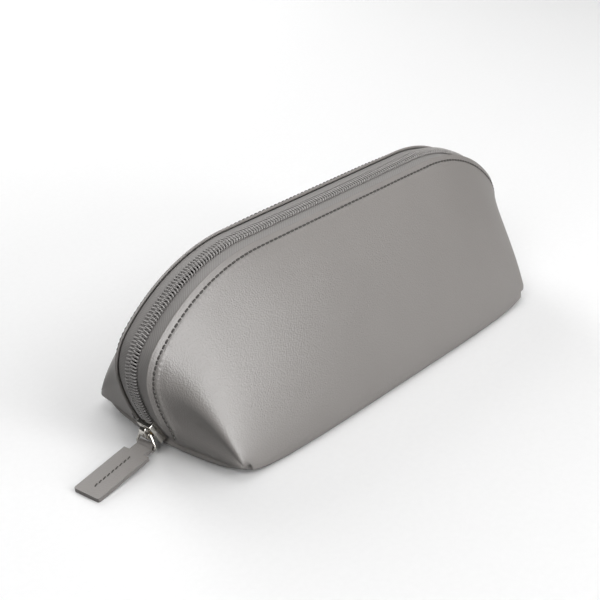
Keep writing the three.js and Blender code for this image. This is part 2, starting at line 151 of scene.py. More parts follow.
def add_soft_box(name, place, size, power):
    """A square soft box at a place, facing the pouch."""
    light = bpy.data.lights.new(name, "AREA")
    light.size = size
    light.energy = power
    box = bpy.data.objects.new(name, light)
    box.location = place
    box.rotation_euler = (Vector(place) - aim).to_track_quat("Z", "Y").to_euler()
    bpy.context.scene.collection.objects.link(box)
    return box


add_soft_box("overhead_box", (0.35, 0.1, 1.3), 1.1, 6.2)
add_soft_box("high_front_box", (0.0, -0.95, 0.95), 0.6, 5.6)
add_soft_box("low_front_box", (0.25, -1.2, 0.35), 0.5, 5.3)
add_soft_box("left_box", (-0.9, -0.3, 0.8), 0.6, 4.2)
add_soft_box("high_back_box", (0.1, 0.95, 0.8), 0.6, 4.1)
low_back_box = add_soft_box("low_back_box", (0.4, 1.2, 0.35), 0.5, 6.0)
low_back_box.visible_glossy = False
add_soft_box("right_front_box", (0.7, -0.9, 0.7), 0.5, 1.5)
sheen_box = add_soft_box("sheen_box", (-0.3, -1.13, 0.36), 0.45, 21)
sheen_box.visible_diffuse = False

# ---- Leather shells
# Front and back halves of the pouch: 1.2 mm fine grained leather, each cut in one piece from the
# zip to the seam under the middle of the base, sewn at the end seams and turned the right way
# out. Their edges are folded along the zip and topstitched.
SEAM_HEIGHT = 4.6 * MM
ARCH_START = -107.5 * MM
ARCH_LEAN = math.radians(125.3)
ARCS = [
    (80 * MM, math.radians(23.3)),
    (23.3 * MM, math.radians(55.3)),
    (78.2 * MM, math.radians(46.7)),
]
TOP_HALF = 57.7 * MM
ARC_ENDS = [sum(radius * sweep for radius, sweep in ARCS[:count]) for count in (1, 2, 3)]
ARCH_HALF = ARC_ENDS[2] + TOP_HALF
ARCH_LENGTH = 2 * ARCH_HALF

BASE_HALF_LENGTH = 100 * MM
BASE_HALF_DEPTH = 43.3 * MM
END_BOW = 6.9 * MM
SIDE_BOW = 3.9 * MM
LIP_LENGTH = 7 * MM
EDGE_RADIUS = 4 * MM
EDGE_Y = 8.5 * MM
CROWN_Y = 9 * MM
CROWN_DEPTH = 0.6 * MM
FAN_START = 83.3 * MM
FAN_POWER = 2.9
BASE_SEAM_HALF = 0.2 * MM
# How steeply the leather leaves the zip, in degrees, and how full its shoulder is. Each changes from
# the end of the zip to the cheek and from the cheek to the top, over these distances in mm.
DROP = {"at_end": 10, "cheek": 58, "top": 36, "end_zone": (0, 20), "top_zone": (85, 145)}
FULLNESS = {"at_end": 0.7, "cheek": 0.43, "top": 0.61, "end_zone": (0, 42), "top_zone": (42, 100)}
FOOT_RISE = 0.356
FOOT_LEAN = 0.18
CHEEK_PULL = 0.445
CHEEK_REACH = 100 * MM
CORNER_LIFT_POWER = 11
ROLL_POWER = 6
BOW_POWER = 4
SEAM_INSET_LIFT = 0.6
LEATHER_THICKNESS = 1.2 * MM
STITCH_LINE = 3.6 * MM
STITCH_PITCH = 2.5 * MM


def mix(a, b, share):
    return a + (b - a) * share


def ease(value, start, end):
    """0 before start, 1 after end, and a smooth step between them."""
    share = min(max((value - start) / (end - start), 0), 1)
    return share * share * (3 - 2 * share)


def arch_at(distance):
    """Point (x, z) and heading on the line over the zip's teeth, this far from its -X end."""
    if distance > ARCH_HALF:
        x, z, heading = arch_at(ARCH_LENGTH - distance)
        return -x, z, -heading
    x, z, heading, left = ARCH_START, SEAM_HEIGHT, ARCH_LEAN, distance
    for radius, sweep in ARCS:
        turn = min(left / radius, sweep)
        x += radius * (math.sin(heading) - math.sin(heading - turn))
        z += radius * (math.cos(heading - turn) - math.cos(heading))
        heading -= turn
        left -= radius * turn
    return x + left, z, heading


def off_arch(distance, y, height):
    """A point beside the arch and above it, about the middle of the pouch."""
    x, z, heading = arch_at(distance)
    return Vector((x - height * math.sin(heading), y, z + height * math.cos(heading)))


def from_end(distance):
    return min(distance, ARCH_LENGTH - distance)


def along_zones(distance, plan):
    """Value that changes from the end of the zip to the cheek, and from the cheek to the top."""
    from_ends = from_end(distance) / MM
    lower = mix(plan["at_end"], plan["cheek"], ease(from_ends, *plan["end_zone"]))
    return mix(lower, plan["top"], ease(from_ends, *plan["top_zone"]))


def drop_angle(distance):
    """How steeply the leather falls away beside the zip."""
    return math.radians(along_zones(distance, DROP))


def bottom_edge(distance, inset):
    """Foot of the long face: x, y, z and the radius that it rolls under with."""
    x = arch_at(distance)[0]
    fan = ARC_ENDS[2] - ARCS[2][0] * math.asin((FAN_START - TOP_HALF) / ARCS[2][0])
    share = min(max(from_end(distance) / fan, 0), 1)
    along = abs(x)
    if share < 1:
        along = BASE_HALF_LENGTH - (BASE_HALF_LENGTH - FAN_START) * share ** FAN_POWER
    t = along / BASE_HALF_LENGTH
    lift = t ** CORNER_LIFT_POWER
    return (
        math.copysign(along * (1 - inset / BASE_HALF_LENGTH), x),
        BASE_HALF_DEPTH + SIDE_BOW * (1 - t ** BOW_POWER) - inset,
        SEAM_HEIGHT * lift + inset * mix(1, SEAM_INSET_LIFT, lift),
        max(EDGE_RADIUS * (1 - t ** ROLL_POWER) - inset, 0),
    )


def end_seam(end, across, inset):
    """Point on the seam round one end, from one corner (across -1) to the other (across 1)."""
    x = BASE_HALF_LENGTH - inset + END_BOW * (1 - across ** 2)
    return Vector((end * x, across * (BASE_HALF_DEPTH - inset), SEAM_HEIGHT + SEAM_INSET_LIFT * inset))


def face_curve(distance, side, inset):
    """Four handles of the curve down the long face, from the zip's edge to the foot."""
    x, y, z, roll = bottom_edge(distance, inset)
    drop = drop_angle(distance)
    crown_y = CROWN_Y - inset * math.tan(drop / 2)
    shoulder = (y - crown_y) * along_zones(distance, FULLNESS)
    depth = CROWN_DEPTH + inset
    top = off_arch(distance, side * crown_y, -depth)
    out_y = crown_y + shoulder * math.cos(drop)
    out = off_arch(distance, side * out_y, -depth - shoulder * math.sin(drop))
    rise = FOOT_RISE * (top.z - z - roll)
    pull = (arch_at(distance)[0] - x) * CHEEK_PULL * min(max(1 - from_end(distance) / CHEEK_REACH, 0), 1)
    above = Vector((x + pull, side * (y - FOOT_LEAN * rise), z + roll + rise))
    foot = Vector((x, side * y, z + roll))
    return top, out, above, foot


def on_curve(handles, t):
    a, b, c, d = handles
    s = 1 - t
    return a * s ** 3 + b * (3 * s * s * t) + c * (3 * s * t * t) + d * t ** 3


# Rows across one half of the pouch: down the face, round the foot, back to the end seam's middle
# part, and on to the seam under the base. The base has as many rows as the face, so that the two
# panels meet corner to corner at the end seams.
EDGE_ROWS = 20
LOWER_ROWS = 20
FACE_ROWS = EDGE_ROWS + LOWER_ROWS
ROLL_ROWS = 4
MIDDLE_ROWS = 4
EDGE_BAND = 10 * MM
SEAM_TURN = 2.2 * MM
LIP_BULGE = 1.3 * MM
SEAM_GROOVE = 1.8 * MM
GROOVE_HALF_WIDTH = 1.1 * MM
DIMPLE_DEPTH = 3.2 * MM
DIMPLE_RADIUS = 1.7 * MM
EDGE_PRESS = 0.4 * MM
FLOOR_REACH = 0.35
LIP_REACH = 0.1


def edge_run(distance, handles, edge_y):
    """Flat width before the curve of the face starts, and the curve's length for each unit of t."""
    pace = 3 * (handles[1] - handles[0]).length
    return (abs(handles[0].y) - edge_y) / math.cos(drop_angle(distance) if edge_y > CROWN_Y else 0), pace


def press_at(width, edge_y):
    """How far the folded edge is pressed down onto the tape by its stitching."""
    return EDGE_PRESS * (1 - ease(width, 0, STITCH_LINE)) if edge_y == EDGE_Y else 0


def face_point(distance, side, row, inset, edge_y):
    """Point down the face at a row from the folded edge (0) to the foot (FACE_ROWS)."""
    handles = face_curve(distance, side, inset)
    flat, pace = edge_run(distance, handles, edge_y)
    width = EDGE_BAND * min(row / EDGE_ROWS, 1)
    press = press_at(width, edge_y)
    if width < flat:
        return off_arch(distance, side * (edge_y + width), -CROWN_DEPTH - inset - press)
    t = mix((width - flat) / pace, 1, max(row - EDGE_ROWS, 0) / LOWER_ROWS)
    return on_curve(handles, t) + off_arch(distance, 0, -press) - off_arch(distance, 0, 0)


@functools.cache
def base_share(row, inset, edge_y):
    """Share of the way from the foot to the middle of the base, at a row across the base."""
    half = BASE_HALF_DEPTH - inset
    full = half - BASE_SEAM_HALF
    edge = abs(face_point(0, -1, max(FACE_ROWS - row, 0), inset, edge_y).y)
    return mix((half - edge) / full, 1, max(row - FACE_ROWS, 0) / MIDDLE_ROWS)


def base_point(distance, side, share, inset):
    """Point under the pouch, from its foot (share 0) to the seam along its middle (share 1)."""
    x, y, z, roll = bottom_edge(distance, inset)
    end = math.copysign(1, x)
    half = BASE_HALF_DEPTH - inset
    seam = end_seam(end, mix(half, BASE_SEAM_HALF, share) / half, inset)
    x = abs(seam.x) * abs(x) / (BASE_HALF_LENGTH - inset)
    near = max(1 - (abs(seam.x) - x) / LIP_LENGTH, 0)
    height = mix(z, max(seam.z * near ** 2, inset), ease(share, 0, FLOOR_REACH))
    x += LIP_BULGE * math.sin(math.pi * near) * ease(share, 0, LIP_REACH)
    return Vector((end * x, side * mix(y - roll, BASE_SEAM_HALF, share), height))


def cut_point(distance, side, row, inset, edge_y=EDGE_Y):
    """Point of the pouch as it is cut and sewn, before its walls settle, at a row across it."""
    end = -1 if distance < ARCH_HALF else 1
    if row <= FACE_ROWS:
        point = face_point(distance, side, row, inset, edge_y)
        near = min(max(from_end(distance) / SEAM_TURN, 0), 1)
        seam = end_seam(end, point.y / (BASE_HALF_DEPTH - inset), inset)
        point = seam.lerp(point, math.sqrt(1 - (1 - near) ** 2))
    elif row < FACE_ROWS + ROLL_ROWS:
        x, y, z, roll = bottom_edge(distance, inset)
        turn = (row - FACE_ROWS) / ROLL_ROWS * math.pi / 2
        point = Vector((x, side * (y - roll * (1 - math.cos(turn))), z + roll * (1 - math.sin(turn))))
    else:
        share = base_share(row - FACE_ROWS - ROLL_ROWS, inset, edge_y)
        point = base_point(distance, side, share, inset)
    across = min(abs(point.y) / (BASE_HALF_DEPTH - inset), 1)
    from_seam = (point - end_seam(end, math.copysign(across, point.y), inset)).length
    point.x -= end * SEAM_GROOVE * math.exp(-(from_seam / GROOVE_HALF_WIDTH) ** 2)
    corner = Vector((end * BASE_HALF_LENGTH, side * BASE_HALF_DEPTH, SEAM_HEIGHT))
    dent = DIMPLE_DEPTH * math.exp(-((point - corner).length / DIMPLE_RADIUS) ** 2)
    return point - corner.normalized() * dent


def loft(columns, rows, place):
    """A bmesh grid whose corners are put where place(column, row) says."""
    sheet = bmesh.new()
    sheet.loops.layers.uv.new("flow")
    bmesh.ops.create_grid(sheet, x_segments=columns, y_segments=rows, size=0.5, calc_uvs=True)
    for vertex in sheet.verts:
        column = round((vertex.co.x + 0.5) * columns)
        row = round((vertex.co.y + 0.5) * rows)
        vertex.co = place(column, row)
    return sheet


# The walls are soft. A coarse cage of each half is settled as cloth, with some air behind it, held
# along the zip, at the end seams and under the base. The walls follow it.
CAGE_COLUMNS = 120
CAGE_ROWS = [0, 8, 14, 17, *range(20, FACE_ROWS + 1), FACE_ROWS + ROLL_ROWS]
CAGE_FROM = 3 * MM
HELD_ROWS = (14, FACE_ROWS)
HELD_ROWS_FADE = (8, 6)
HELD_COLUMNS = 1
HELD_COLUMNS_FADE = 3
EASING_STEPS = 18
EASING = 0.5
CLOTH_FRAMES = 25
CLOTH = {
    "quality": 8, "mass": 0.3, "tension_stiffness": 25, "compression_stiffness": 25,
    "shear_stiffness": 10, "bending_stiffness": 12, "use_pressure": True,
    "uniform_pressure_force": 1.2,
}
MOST_GIVE = 5 * MM


def held_share(column, row):
    """1 where the cage is sewn down or rests on something, 0 where it is free."""
    from_zip = max(row - HELD_ROWS[0], 0) / HELD_ROWS_FADE[0]
    from_foot = max(HELD_ROWS[1] - row, 0) / HELD_ROWS_FADE[1]
    from_seam = max(min(column, CAGE_COLUMNS - column) - HELD_COLUMNS, 0) / HELD_COLUMNS_FADE
    return 1 - min(from_zip, from_foot, 1) * min(from_seam, 1)


def settle(side):
    """How far each corner of one half's cage moves as the cloth settles."""
    def place(column, line):
        distance = mix(CAGE_FROM, ARCH_LENGTH - CAGE_FROM, column / CAGE_COLUMNS)
        return cut_point(distance, side, CAGE_ROWS[line], 0)

    shape = loft(CAGE_COLUMNS, len(CAGE_ROWS) - 1, place)
    if side > 0:
        bmesh.ops.reverse_faces(shape, faces=shape.faces)
    before = [vertex.co.copy() for vertex in shape.verts]
    held_by = [held_share(index % (CAGE_COLUMNS + 1), CAGE_ROWS[index // (CAGE_COLUMNS + 1)])
               for index in range(len(before))]
    free = [vertex for vertex, share in zip(shape.verts, held_by) if share < 0.5]
    for step in range(EASING_STEPS):
        bmesh.ops.smooth_vert(
            shape, verts=free, factor=EASING, use_axis_x=True, use_axis_y=True, use_axis_z=True)
    mesh = bpy.data.meshes.new("cage")
    shape.to_mesh(mesh)
    shape.free()
    cage = bpy.data.objects.new("cage", mesh)
    bpy.context.scene.collection.objects.link(cage)
    held = cage.vertex_groups.new(name="held")
    for index, share in enumerate(held_by):
        held.add([index], share, "REPLACE")
    cloth = cage.modifiers.new("cloth", "CLOTH")
    for key, value in CLOTH.items():
        setattr(cloth.settings, key, value)
    cloth.settings.vertex_group_mass = held.name
    cloth.settings.effector_weights.gravity = 0
    cloth.collision_settings.use_collision = False
    cloth.point_cache.frame_end = CLOTH_FRAMES
    for step in range(1, CLOTH_FRAMES + 1):
        bpy.context.scene.frame_set(step)
    settled = cage.evaluated_get(bpy.context.evaluated_depsgraph_get()).data
    moved = [vertex.co - start for vertex, start in zip(settled.vertices, before)]
    bpy.data.objects.remove(cage)
    bpy.context.scene.frame_set(1)
    for give in moved:
        give *= min(1, MOST_GIVE / max(give.length, 1e-9))
    return moved


gives = {side: settle(side) for side in (-1, 1)}


def curve_weights(share):
    """Weights of the four nearest lines of the cage, which make one smooth curve."""
    rest = 1 - share
    return (rest ** 3 / 6, (3 * share ** 3 - 6 * share ** 2 + 4) / 6,
            (3 * rest ** 3 - 6 * rest ** 2 + 4) / 6, share ** 3 / 6)


@functools.cache
def cage_line(row):
    """Place of a row among the cage's lines."""
    line = bisect.bisect_right(CAGE_ROWS, row) - 1
    if line >= len(CAGE_ROWS) - 1:
        return len(CAGE_ROWS) - 1
    return line + (row - CAGE_ROWS[line]) / (CAGE_ROWS[line + 1] - CAGE_ROWS[line])


def give_at(distance, side, row):
    """How far the settled wall has moved from where it was cut, at a row across it."""
    total = Vector((0, 0, 0))
    if side not in gives or row <= CAGE_ROWS[1] or row >= CAGE_ROWS[-1]:
        return total
    share = (distance - CAGE_FROM) / (ARCH_LENGTH - 2 * CAGE_FROM)
    column = min(max(share, 0), 1) * CAGE_COLUMNS
    line = cage_line(row)
    first_column, first_line = math.floor(column), math.floor(line)
    along = curve_weights(column - first_column)
    across = curve_weights(line - first_line)
    for i in range(4):
        at_line = min(max(first_line + i - 1, 0), len(CAGE_ROWS) - 1) * (CAGE_COLUMNS + 1)
        for j in range(4):
            at_column = min(max(first_column + j - 1, 0), CAGE_COLUMNS)
            total += gives[side][at_line + at_column] * (across[i] * along[j])
    return total


@functools.cache
def leather_row(distance, row, edge_y):
    """The leather's own row that a row of a layer with its edge further out lies against."""
    if edge_y == EDGE_Y or row >= FACE_ROWS:
        return row
    handles = face_curve(distance, -1, 0)
    flat, pace = edge_run(distance, handles, edge_y)
    own_flat, pace = edge_run(distance, handles, EDGE_Y)
    width = EDGE_BAND * min(row / EDGE_ROWS, 1)
    last = (EDGE_BAND - own_flat) / pace
    t = mix((width - flat) / pace, 1, max(row - EDGE_ROWS, 0) / LOWER_ROWS)
    if t < last:
        return EDGE_ROWS * (t * pace + own_flat) / EDGE_BAND
    return EDGE_ROWS + LOWER_ROWS * (t - last) / (1 - last)


def skin_point(distance, side, row, inset, edge_y=EDGE_Y):
    """Point of the settled pouch's outside, or of the same shape inset, at a row across it."""
    give = give_at(distance, side, leather_row(distance, row, edge_y))
    return cut_point(distance, side, row, inset, edge_y) + give


NORMAL_STEP = 0.2 * MM
NORMAL_ROWS = 0.3


def skin_normal(distance, side, row):
    """Outward direction on the face of the leather."""
    before, after = (skin_point(distance + step, side, row, 0) for step in (-NORMAL_STEP, NORMAL_STEP))
    above, below = (skin_point(distance, side, row + step, 0) for step in (-NORMAL_ROWS, NORMAL_ROWS))
    return ((after - before).cross(below - above) * side).normalized()


# Beside each stitch: how far out from the stitch line, how wide and how high the leather stands.
PUCKERS = ((0, 0.75 * MM, -0.25 * MM), (1.15 * MM, 0.55 * MM, 0.42 * MM), (-1.6 * MM, 1.0 * MM, 0.12 * MM))
PUCKER_FADE = (1 * MM, 4 * MM)


def stitch_relief(distance, width):
    """How far the leather stands out, or is drawn in by the thread, beside the topstitch."""
    beat = 0.5 - 0.5 * math.cos(2 * math.pi * distance / STITCH_PITCH)
    off = width - STITCH_LINE
    return beat * sum(height * math.exp(-((off - at) / spread) ** 2) for at, spread, height in PUCKERS)


MEETING = 0.002 * MM
VANISHING = 0.001 * MM


def seal(shape):
    """Merges the corners that meet and closes the two ends."""
    bmesh.ops.remove_doubles(shape, verts=shape.verts, dist=MEETING)
    bmesh.ops.dissolve_degenerate(shape, edges=shape.edges, dist=VANISHING)
    bmesh.ops.holes_fill(shape, edges=[edge for edge in shape.edges if edge.is_boundary])
    bmesh.ops.recalc_face_normals(shape, faces=shape.faces)


def add_piece(name, shape, material, body, sharp=180):
    """Turns a bmesh into a piece that rides on a body and stands for the CAD node of its name."""
    mesh = bpy.data.meshes.new(name)
    shape.to_mesh(mesh)
    shape.free()
    mesh.materials.append(material)
    mesh.polygons.foreach_set("use_smooth", [True] * len(mesh.polygons))
    mesh.set_sharp_from_angle(angle=math.radians(sharp))
    piece = bpy.data.objects.new(f"fine_{name}", mesh)
    bpy.context.scene.collection.objects.link(piece)
    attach(piece, body)
    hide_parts(name)
    return piece


EDGE_TURNS = 3


def add_wall(name, side, outer, inner, columns, material, slot, edge_y=EDGE_Y, stitched=False):
    """One layer of one half of the pouch, closed between two insets, with a round edge."""
    last = FACE_ROWS + ROLL_ROWS + FACE_ROWS + MIDDLE_ROWS
    middle = (outer + inner) / 2
    half = (inner - outer) / 2
    steps = [(0, turn) for turn in range(EDGE_TURNS + 1)]
    steps += [(row, EDGE_TURNS) for row in range(2, last + 1)]
    steps += [(row, -EDGE_TURNS) for row in range(last, 1, -1)]
    steps += [(0, turn) for turn in range(-EDGE_TURNS, 1)]

    def place(column, index):
        distance = ARCH_LENGTH * column / columns
        row, turn = steps[index]
        angle = turn / EDGE_TURNS * math.pi / 2
        point = skin_point(distance, side, row, middle - half * math.sin(angle), edge_y)
        if row == 0:
            point.y += side * half * (1 - math.cos(angle))
        elif stitched and turn > 0 and row <= EDGE_ROWS:
            fade = ease(from_end(distance), *PUCKER_FADE)
            relief = stitch_relief(distance, EDGE_BAND * row / EDGE_ROWS) * fade
            if relief:
                point += skin_normal(distance, side, row) * relief
        return point + Vector((POUCH_MIDDLE, 0, 0))

    shape = loft(columns, len(steps) - 1, place)
    seal(shape)
    return add_piece(name, shape, material, "pouch")


# Fine grained coated leather: warm grey, softly glossy, with a pebble of about 0.7 mm.
GRAIN = 0.7 * MM
GRAIN_WANDER = 0.5 * MM
GRAIN_DEPTH = 0.075 * MM
leather, shader = new_material("fine_grained_leather")
where = add_node(leather, "ShaderNodeTexCoord")
wander = add_node(leather, "ShaderNodeTexNoise", {
    "Vector": where.outputs["Object"], "Scale": 1 / (1.4 * MM),
})
bent = add_node(leather, "ShaderNodeVectorMath", {
    0: wander.outputs["Color"], 1: (GRAIN_WANDER,) * 3, 2: where.outputs["Object"],
}, operation="MULTIPLY_ADD")
pebble = add_node(leather, "ShaderNodeTexVoronoi", {
    "Vector": bent.outputs["Vector"], "Scale": 1 / GRAIN,
}, feature="F1")
pore = add_node(leather, "ShaderNodeTexNoise", {
    "Vector": where.outputs["Object"], "Scale": 1 / (0.45 * MM), "Detail": 3.0,
})
grain = add_node(leather, "ShaderNodeMath", {
    0: pebble.outputs["Distance"], 1: pore.outputs["Fac"],
}, operation="ADD")
bump = add_node(leather, "ShaderNodeBump", {
    "Height": grain.outputs["Value"], "Strength": 1.0, "Distance": GRAIN_DEPTH,
})
cloud = add_node(leather, "ShaderNodeTexNoise", {"Vector": where.outputs["Object"], "Scale": 1 / (38 * MM)})
tone = add_node(leather, "ShaderNodeValToRGB", {"Fac": cloud.outputs["Fac"]})
tone.color_ramp.elements[0].color = linear("8a8683")
tone.color_ramp.elements[1].color = linear("918d8a")
speck = add_node(leather, "ShaderNodeMapRange", {
    "Value": grain.outputs["Value"], "To Min": 0.94, "To Max": 1.04,
})
shaded = add_node(leather, "ShaderNodeVectorMath", {
    0: tone.outputs["Color"], "Scale": speck.outputs["Result"],
}, operation="SCALE")
gloss = add_node(leather, "ShaderNodeMapRange", {
    "Value": grain.outputs["Value"], "To Min": 0.33, "To Max": 0.45,
})
join(leather, shaded.outputs["Vector"], shader.inputs["Base Color"])
join(leather, gloss.outputs["Result"], shader.inputs["Roughness"])
join(leather, bump.outputs["Normal"], shader.inputs["Normal"])

LEATHER_COLUMNS = round(3 * ARCH_LENGTH / STITCH_PITCH)
SIDES = (("front", -1), ("back", 1))
for word, side in SIDES:
    add_wall(f"{word}_shell", side, 0, LEATHER_THICKNESS, LEATHER_COLUMNS, leather, "leather", stitched=True)

# ---- Foam
# 1.4 mm sheets of open cell polyurethane foam behind the leather, which give the walls their soft
# hand. They are glued to the leather and end short of the zip.
foam, shader = new_material("open_cell_polyurethane_foam")
where = add_node(foam, "ShaderNodeTexCoord")
cell = add_node(foam, "ShaderNodeTexVoronoi", {"Vector": where.outputs["Object"], "Scale": 1 / (0.6 * MM)})
tone = add_node(foam, "ShaderNodeValToRGB", {"Fac": cell.outputs["Distance"]})
tone.color_ramp.elements[0].color = linear("b5b0a4")
tone.color_ramp.elements[1].color = linear("e4e0d6")
bump = add_node(foam, "ShaderNodeBump", {
    "Height": cell.outputs["Distance"], "Strength": 0.6, "Distance": 0.15 * MM,
})
join(foam, tone.outputs["Color"], shader.inputs["Base Color"])
join(foam, bump.outputs["Normal"], shader.inputs["Normal"])
shader.inputs["Roughness"].default_value = 0.95

FOAM = (1.8 * MM, 3.2 * MM)
FOAM_EDGE_Y = 15 * MM
SOFT_PITCH = 4 * MM
SOFT_COLUMNS = round(ARCH_LENGTH / SOFT_PITCH)
for word, side in SIDES:
    pad = add_wall(f"{word}_foam", side, *FOAM, SOFT_COLUMNS, foam, "foam", FOAM_EDGE_Y)

# ---- Lining
# 0.8 mm plain woven polyester, inside the foam, in two panels cut like the leather. They are sewn in
# with the zip at the top, and into the end seams and the base seam.
THREAD_SPACING = 0.7 * MM
WAVE_REPEAT = 0.315
lining, shader = new_material("plain_woven_polyester")
where = add_node(lining, "ShaderNodeTexCoord")
warp = add_node(lining, "ShaderNodeTexWave", {
    "Vector": where.outputs["Object"], "Scale": WAVE_REPEAT / THREAD_SPACING, "Distortion": 0.4,
}, bands_direction="X")
weft = add_node(lining, "ShaderNodeTexWave", {
    "Vector": where.outputs["Object"], "Scale": WAVE_REPEAT / THREAD_SPACING, "Distortion": 0.4,
}, bands_direction="DIAGONAL")
weave = add_node(lining, "ShaderNodeMath", {
    0: warp.outputs["Fac"], 1: weft.outputs["Fac"],
}, operation="MULTIPLY")
tone = add_node(lining, "ShaderNodeValToRGB", {"Fac": weave.outputs["Value"]})
tone.color_ramp.elements[0].color = linear("45433f")
tone.color_ramp.elements[1].color = linear("6a6762")
bump = add_node(lining, "ShaderNodeBump", {
    "Height": weave.outputs["Value"], "Strength": 0.5, "Distance": 0.1 * MM,
})
join(lining, tone.outputs["Color"], shader.inputs["Base Color"])
join(lining, bump.outputs["Normal"], shader.inputs["Normal"])
shader.inputs["Roughness"].default_value = 0.7
shader.inputs["Sheen Weight"].default_value = 0.2

LINING = (3.8 * MM, 4.6 * MM)
for word, side in SIDES:
    add_wall(f"{word}_lining", side, *LINING, SOFT_COLUMNS, lining, "lining")

# ---- Bindings
# Folded tape, woven of the same polyester as the lining, sewn over the raw seams inside so that
# they don't fray: one along the base and one at each end.
ROUNDED_FROM = math.radians(35)
FLAT_WITHIN = math.radians(1)
SHARP_FROM = 40


def refined(name, rounding, material, body, segments=2):
    """A CAD node's shape with merged corners, flat faces made whole and its edges rounded."""
    shape = bmesh.new()
    shape.from_mesh(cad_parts[name].data)
    bmesh.ops.remove_doubles(shape, verts=shape.verts, dist=MEETING)
    bmesh.ops.dissolve_limit(shape, angle_limit=FLAT_WITHIN, verts=shape.verts, edges=shape.edges)
    edges = [edge for edge in shape.edges if edge.is_manifold and edge.calc_face_angle() > ROUNDED_FROM]
    bmesh.ops.bevel(
        shape, geom=edges, offset=rounding, offset_type="OFFSET", segments=segments,
        profile=0.5, affect="EDGES", clamp_overlap=True, material=-1)
    bmesh.ops.recalc_face_normals(shape, faces=shape.faces)
    return add_piece(name, shape, material, body, sharp=SHARP_FROM)


BINDING_ROUNDING = 0.25 * MM
for name in ("base_seam_binding", "left_end_binding", "right_end_binding"):
    refined(name, BINDING_ROUNDING, lining, "pouch")

# ---- Zip tapes
# Woven polyester tapes, 0.6 mm thick, flat beside the teeth and sewn under the leather's edges,
# where they bend down with the leather.
TAPE_INNER_Y = 1.5 * MM
TAPE_TOP = -2.25 * MM
TAPE_THICKNESS = 0.6 * MM
TAPE_BEND_Y = 8.2 * MM
TAPE_WING = 3.6 * MM
TAPE_WING_FADE = (1 * MM, 10 * MM)
TAPE_BEND_HALF = 0.5 * MM
TAPE_ROWS = 24
TAPE_PITCH = 2 * MM
TAPE_FROM = 0.6 * MM
RIB = 0.7 * MM
RIBBED_WIDTH = 22 * MM
RIB_SCALE = 0.32

tape, shader = new_material("herringbone_polyester_tape")
flow = add_node(tape, "ShaderNodeUVMap", uv_map="flow")
place_rib = add_node(tape, "ShaderNodeMapping", {
    "Vector": flow.outputs["UV"], "Scale": (ARCH_LENGTH / RIB, RIBBED_WIDTH / RIB, 1),
})
rib = add_node(tape, "ShaderNodeTexWave", {
    "Vector": place_rib.outputs["Vector"], "Scale": RIB_SCALE, "Distortion": 0.6, "Detail": 1.0,
}, bands_direction="DIAGONAL")
tone = add_node(tape, "ShaderNodeValToRGB", {"Fac": rib.outputs["Fac"]})
tone.color_ramp.elements[0].color = linear("8e8b89")
tone.color_ramp.elements[1].color = linear("9b9896")
bump = add_node(tape, "ShaderNodeBump", {
    "Height": rib.outputs["Fac"], "Strength": 0.3, "Distance": 0.05 * MM,
})
join(tape, tone.outputs["Color"], shader.inputs["Base Color"])
join(tape, bump.outputs["Normal"], shader.inputs["Normal"])
shader.inputs["Roughness"].default_value = 0.6
shader.inputs["Sheen Weight"].default_value = 0.15


def tape_point(distance, side, across, depth):
    """Point on the tape at a share across it, from the teeth to its hidden edge."""
    flat = TAPE_BEND_Y - TAPE_INNER_Y
    width = across * (flat + TAPE_WING * ease(from_end(distance), *TAPE_WING_FADE))
    drop = drop_angle(distance) * ease(width, flat - TAPE_BEND_HALF, flat + TAPE_BEND_HALF)
    down = max(width - flat, 0)
    y = TAPE_INNER_Y + min(width, flat) + down * math.cos(drop) - depth * math.sin(drop)
    return off_arch(distance, side * y, TAPE_TOP - down * math.sin(drop) - depth * math.cos(drop))


def add_tape(name, side):
    """One tape: along its top from the teeth, round its hidden edge, and back along its underside."""
    columns = round(ARCH_LENGTH / TAPE_PITCH)

    def place(column, row):
        distance = mix(TAPE_FROM, ARCH_LENGTH - TAPE_FROM, column / columns)
        row %= 2 * TAPE_ROWS
        above = row < TAPE_ROWS
        across = row / TAPE_ROWS if above else 2 - row / TAPE_ROWS
        depth = 0 if above else TAPE_THICKNESS
        return tape_point(distance, side, across, depth) + Vector((POUCH_MIDDLE, 0, 0))

    shape = loft(columns, 2 * TAPE_ROWS, place)
    seal(shape)
    add_piece(name, shape, tape, "pouch", sharp=60)


for word, side in SIDES:
    add_tape(f"{word}_tape", side)

# ---- Zip coils
# Size 5 nylon coil: each side is one 0.7 mm filament wound flat, with a tooth every 1.5 mm, and
# the heads of the two sides mesh in the middle.
TOOTH_PITCH = 1.5 * MM
FILAMENT = 0.36 * MM
COIL_FROM = 5.4 * MM
COIL_TO = ARCH_LENGTH - 6 * MM
COIL_MIDDLE_Y = 1.2 * MM
COIL_REACH = 1.55 * MM
COIL_MIDDLE_HEIGHT = -1.15 * MM
COIL_RISE = 0.75 * MM
COIL_FLATNESS = 0.6
POINTS_PER_TOOTH = 12

nylon, shader = new_material("moulded_nylon_coil")
where = add_node(nylon, "ShaderNodeTexCoord")
drawn = add_node(nylon, "ShaderNodeTexNoise", {
    "Vector": where.outputs["Object"], "Scale": 1 / (0.5 * MM),
})
tone = add_node(nylon, "ShaderNodeValToRGB", {"Fac": drawn.outputs["Fac"]})
tone.color_ramp.elements[0].color = linear("999694")
tone.color_ramp.elements[1].color = linear("afacaa")
gloss = add_node(nylon, "ShaderNodeMapRange", {
    "Value": drawn.outputs["Fac"], "To Min": 0.34, "To Max": 0.46,
})
join(nylon, tone.outputs["Color"], shader.inputs["Base Color"])
join(nylon, gloss.outputs["Result"], shader.inputs["Roughness"])


WIRE_MEETING = 0.0005 * MM


